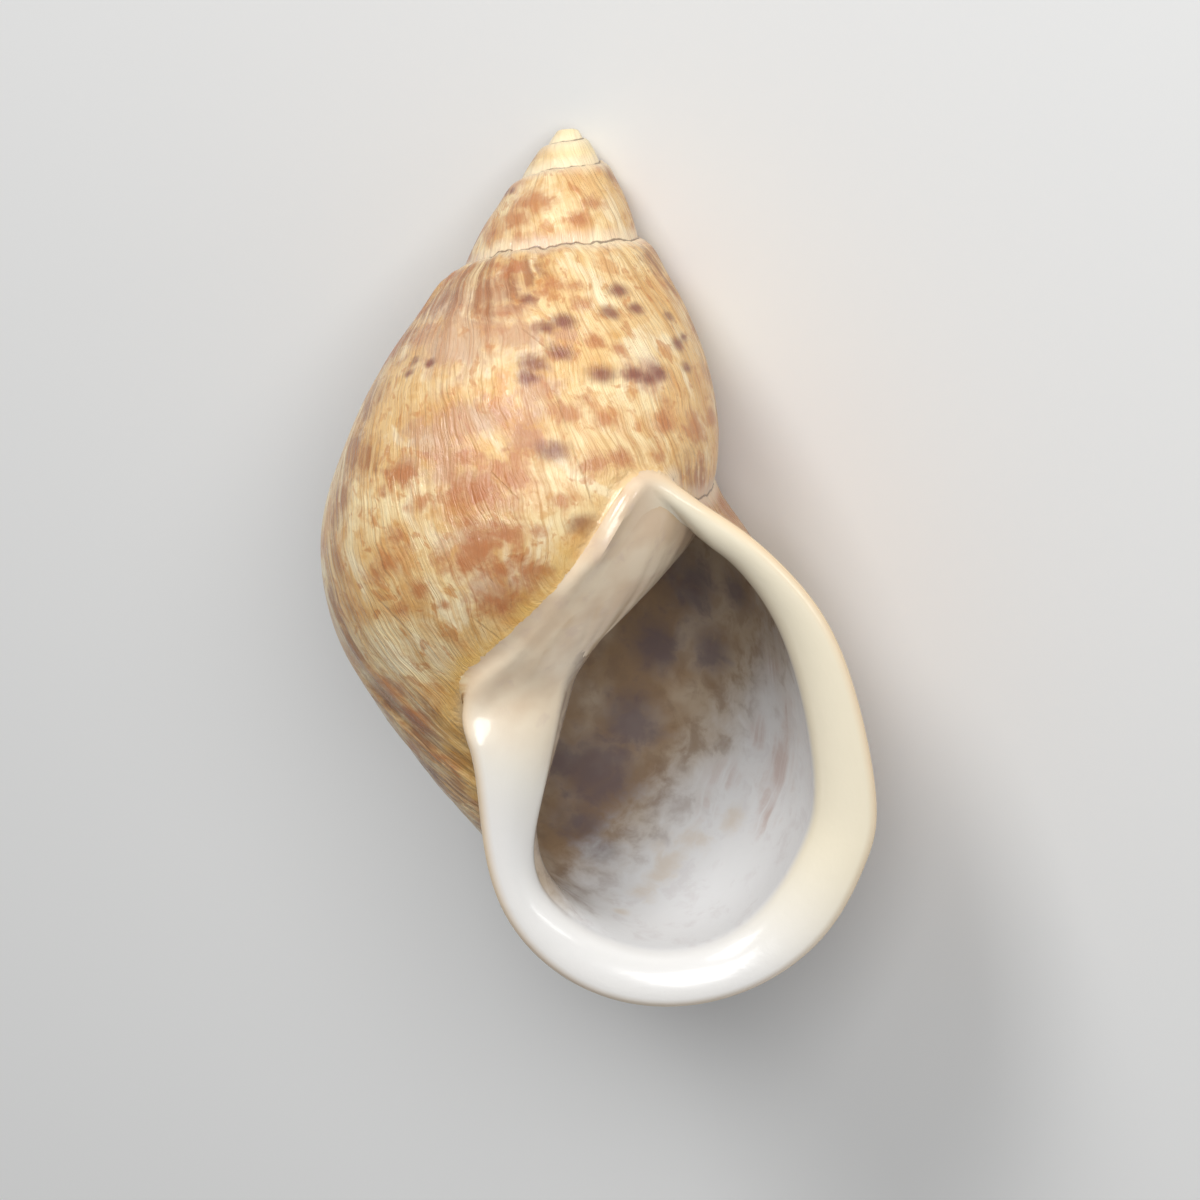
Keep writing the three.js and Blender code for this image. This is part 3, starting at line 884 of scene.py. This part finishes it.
def shell_material():
    material = bpy.data.materials.new("shell")
    material.use_nodes = True
    tree = material.node_tree
    tree.nodes.clear()
    m = Mixer(tree)

    place = m.scaled(m.node("ShaderNodeTexCoord").outputs["Object"], (1000, 1000, 1000))
    along, length, height, turn = m.attribute("along")
    _, callus, side, dark = m.attribute("zone")
    _, spot, rust, haze = m.attribute("marks")
    _, streak, suture, _ = m.attribute("bands")
    _, smudge, stain, rosy = m.attribute("within")
    _, across, down, forward = m.attribute("front")

    # Growth lines run down the whorl, so they are fine along its length and long down it.
    wander = m.times(m.add(m.noise(m.scaled(along, (0.12, 0.3, 0)), 1, 2), -0.5), 3.0)
    grown = m.vector(m.add(length, wander), height)
    threads = m.noise(m.scaled(grown, (6.5, 0.5, 0)), 1, 3, 0.6)
    fine_lines = m.noise(m.scaled(grown, (3.2, 0.16, 0)), 1, 4, 0.6)
    broad_lines = m.noise(m.scaled(grown, (1.0, 0.09, 0)), 1, 3, 0.55)
    beaten = m.noise(m.scaled(grown, (2.4, 1.5, 0)), 1, 3, 0.6, 0.6)
    flecks = m.noise(m.scaled(grown, (0.8, 1.3, 0)), 1, 3, 0.6, 0.4)
    patches = m.noise(m.scaled(grown, (0.28, 0.42, 0)), 1, 4, 0.6, 0.5)
    clouds = m.noise(m.scaled(place, (0.16, 0.16, 0.16)), 1, 3, 0.55)
    mottle = m.noise(place, 0.55, 4, 0.6, 0.3)
    grain = m.noise(place, 2.6, 3, 0.6)

    outer = m.mix(m.step(clouds, 0.38, 0.62), colour(226, 188, 128), colour(240, 216, 166))
    outer = m.mix(m.times(m.step(patches, 0.5, 0.66), 0.7), outer, colour(208, 148, 86))
    outer = m.mix(m.times(m.step(mottle, 0.5, 0.68), 0.6), outer, colour(208, 154, 86))
    outer = m.mix(m.times(m.step(patches, 0.48, 0.34), 0.6), outer, colour(246, 232, 196))
    outer = m.mix(m.times(m.step(broad_lines, 0.5, 0.66), 0.45), outer, colour(206, 154, 84))
    outer = m.mix(m.times(m.step(fine_lines, 0.5, 0.66), 0.5), outer, colour(182, 126, 64))
    outer = m.mix(m.times(m.step(flecks, 0.55, 0.66), 0.6), outer, colour(188, 118, 58))

    ragged = m.add(m.times(m.add(mottle, -0.5), 3.0), m.times(m.add(flecks, -0.5), 2.4))
    ragged = m.add(ragged, m.times(m.add(beaten, -0.5), 0.8))
    haze_share = m.step(m.add(haze, ragged), 1.8, 0.3)
    hazy = m.mix(fine_lines, colour(148, 88, 82), colour(192, 136, 108))
    outer = m.mix(m.times(haze_share, 0.55), outer, hazy)
    streak_share = m.times(m.step(m.add(streak, ragged), 1.9, 0.4), m.step(broad_lines, 0.34, 0.56))
    streaked = m.mix(fine_lines, colour(116, 66, 38), colour(178, 108, 50))
    outer = m.mix(m.times(streak_share, 0.8), outer, streaked)
    rust_share = m.step(m.add(rust, ragged), 1.7, 0.1)
    rusty = m.mix(flecks, colour(196, 122, 62), colour(154, 82, 50))
    outer = m.mix(m.times(rust_share, 0.75), outer, rusty)
    spot_share = m.step(m.add(spot, m.times(ragged, 0.35)), 1.7, 0.2)
    outer = m.mix(m.times(spot_share, 0.85), outer, colour(122, 58, 46))

    # The youngest part, behind the lip, is streaked all over, and the tip is plain.
    young = m.times(m.step(turn, -0.3, -0.14), m.step(fine_lines, 0.4, 0.6))
    outer = m.mix(m.times(young, 0.8), outer, m.mix(broad_lines, colour(140, 88, 44), colour(198, 150, 88)))
    outer = m.mix(m.times(m.step(turn, -2.2, -3.2), 0.75), outer, colour(242, 222, 170))
    seam = m.add(suture, m.times(m.add(grain, -0.5), 0.16))
    outer = m.mix(m.times(m.step(seam, 1.3, 0.25), 0.5), outer, colour(243, 230, 204))
    outer = m.mix(m.times(m.step(seam, 0.13, 0.04), 0.7), outer, colour(84, 52, 34))

    # Growth lines cut into the front.
    cut_share = 0.0
    for u1, v1, u2, v2 in CUTS:
        cut_share = m.math("MAXIMUM", cut_share, m.line(across, down, mottle, (u1, v1), (u2, v2)))
    cut_share = m.times(m.times(cut_share, m.step(forward, 0.0, 2.0)), m.step(callus, 0.2, -0.2))
    outer = m.mix(m.times(cut_share, 0.25), outer, colour(150, 104, 64))

    # The glaze over the whorl, from its golden edge inwards.
    edge = m.add(callus, m.times(m.add(mottle, -0.5), 1.6))
    golden = m.times(m.step(edge, -2.4, -0.2), m.step(down, 24.0, 33.0))
    outer = m.mix(m.times(golden, 0.65), outer, m.mix(mottle, colour(222, 158, 62), colour(244, 208, 120)))
    porcelain = m.mix(m.step(clouds, 0.4, 0.6), colour(216, 190, 160), colour(230, 211, 184))
    porcelain = m.mix(m.times(m.step(mottle, 0.55, 0.7), 0.35), porcelain, colour(204, 178, 162))
    glaze = m.mix(m.step(edge, 0.0, 2.2), colour(228, 196, 148), porcelain)
    outer = m.mix(m.step(edge, -0.7, 0.9), outer, glaze)

    # The lip and the inside.
    towards_foot = m.step(m.add(down, m.times(across, -0.5)), 38.0, 52.0)
    lip = m.mix(towards_foot, colour(234, 224, 200), colour(226, 224, 221))
    lip = m.mix(m.times(m.step(turn, 0.7, 1.0), m.step(side, 1.05, 0.5)), lip, colour(232, 202, 160))
    warm = m.times(m.step(m.add(down, m.times(across, -0.35)), 47.0, 39.0), m.step(across, 9.0, 6.0))
    lip = m.mix(m.times(warm, 0.9), lip, porcelain)
    # Past the dark edge the inside is painted darker: partly the shell's own brown showing through the thin
    # wall, partly painted shade of the deep mouth.
    murk = m.add(m.times(m.add(mottle, -0.5), 4.0), m.times(m.add(clouds, -0.5), 5.0))
    deep_brown_and_shade = m.step(m.add(dark, murk), -3.0, 2.6)
    dull = m.mix(m.step(clouds, 0.4, 0.6), colour(152, 126, 98), colour(178, 160, 138))
    dull = m.mix(m.times(m.step(mottle, 0.45, 0.65), 0.5), dull, colour(132, 110, 92))
    smudged = m.step(m.add(smudge, m.times(m.add(mottle, -0.5), 2.4)), 1.6, 0.2)
    dull = m.mix(m.times(smudged, 0.75), dull, colour(104, 92, 98))
    inner = m.mix(m.times(m.step(mottle, 0.5, 0.7), 0.4), colour(232, 232, 232), colour(212, 206, 206))
    rosy_share = m.times(m.step(m.add(rosy, murk), 1.9, -0.4), m.step(broad_lines, 0.3, 0.6))
    inner = m.mix(m.times(rosy_share, 0.6), inner, colour(190, 160, 148))
    stained = m.step(m.add(stain, murk), 1.9, -0.4)
    inner = m.mix(m.times(stained, 0.4), inner, colour(206, 180, 144))
    inner = m.mix(deep_brown_and_shade, inner, dull)
    lip = m.mix(m.step(turn, 0.0, 0.25), inner, lip)
    final = m.mix(m.step(side, 0.25, 0.6), outer, lip)

    shader = m.node("ShaderNodeBsdfPrincipled", {"Base Color": final})
    shader.inputs["IOR"].default_value = 1.53
    shader.inputs["Coat Weight"].default_value = 0.3
    shader.inputs["Coat Roughness"].default_value = 0.1
    outside_share = m.times(m.step(side, 0.5, 0.2), m.step(edge, 0.4, -0.4))
    rough = m.add(0.24, m.times(outside_share, m.add(0.04, m.times(m.step(fine_lines, 0.4, 0.7), 0.16))))
    tree.links.new(rough, shader.inputs["Roughness"])
    relief = m.add(m.times(fine_lines, 0.9), m.add(m.times(threads, 0.35), m.times(beaten, 0.6)))
    relief = m.add(relief, m.add(m.times(grain, 0.15), m.times(cut_share, -0.22)))
    bump = m.node("ShaderNodeBump", {"Strength": 1.0, "Distance": 0.00013})
    tree.links.new(m.add(m.times(relief, outside_share), m.times(mottle, 0.25)), bump.inputs["Height"])
    for socket in ("Normal", "Coat Normal"):
        tree.links.new(bump.outputs[0], shader.inputs[socket])
    output = m.node("ShaderNodeOutputMaterial")
    tree.links.new(shader.outputs[0], output.inputs[0])
    return material


body.data.materials.append(shell_material())

# Stage

FLOOR_HALF = 0.6
floor_corners = [(x * FLOOR_HALF, y * FLOOR_HALF, 0) for x, y in ((-1, -1), (1, -1), (1, 1), (-1, 1))]
floor_mesh = bpy.data.meshes.new("floor")
floor_mesh.from_pydata(floor_corners, [], [(0, 1, 2, 3)])
floor = bpy.data.objects.new("floor", floor_mesh)
bpy.context.scene.collection.objects.link(floor)
floor_material = bpy.data.materials.new("floor")
floor_material.use_nodes = True
floor_material.node_tree.nodes["Principled BSDF"].inputs["Base Color"].default_value = (0.8, 0.8, 0.79, 1)
floor_material.node_tree.nodes["Principled BSDF"].inputs["Roughness"].default_value = 0.9
floor_mesh.materials.append(floor_material)

# Camera: it sees the shell as the photograph does, from in front of the mouth. Lengths are in millimetres.
LEAN = math.radians(3)
VIEW_DISTANCE = 470.0
FRAME_WIDTH = 84.0
VIEW_ACROSS = 2.1
VIEW_DOWN = 33.11
view = (
    REST
    @ Matrix.Rotation(LEAN, 4, "Z")
    @ Matrix.Translation((VIEW_ACROSS, -VIEW_DOWN, VIEW_DISTANCE))
)
camera_data = bpy.data.cameras.new("camera")
camera_data.sensor_width = 36
camera_data.lens = camera_data.sensor_width * VIEW_DISTANCE / FRAME_WIDTH
camera_data.clip_start = 0.01
camera = bpy.data.objects.new("camera", camera_data)
location, rotation, _ = view.decompose()
camera.location = location
camera.rotation_euler = rotation.to_euler()
bpy.context.scene.collection.objects.link(camera)
bpy.context.scene.camera = camera

# Light


def area_light(name, place, size, power):
    """A soft light at a place in the camera's frame: across, up and towards the camera, in metres."""
    data = bpy.data.lights.new(name, "AREA")
    data.size = size
    data.energy = power
    lamp = bpy.data.objects.new(name, data)
    lamp.location = camera.matrix_basis.to_3x3() @ Vector(place)
    lamp.rotation_euler = lamp.location.to_track_quat("Z", "Y").to_euler()
    bpy.context.scene.collection.objects.link(lamp)


area_light("front", (0.03, 0.05, 0.55), 0.3, 1.8)
area_light("key", (-0.25, 0.3, 0.4), 0.2, 1.7)
area_light("side", (0.5, 0.1, 0.3), 0.2, 0.7)
world = bpy.data.worlds.new("world")
bpy.context.scene.world = world
world.use_nodes = True
world.node_tree.nodes["Background"].inputs["Color"].default_value = (0.95, 0.97, 1, 1)
world.node_tree.nodes["Background"].inputs["Strength"].default_value = 0.21
bpy.context.scene.view_settings.view_transform = "Standard"
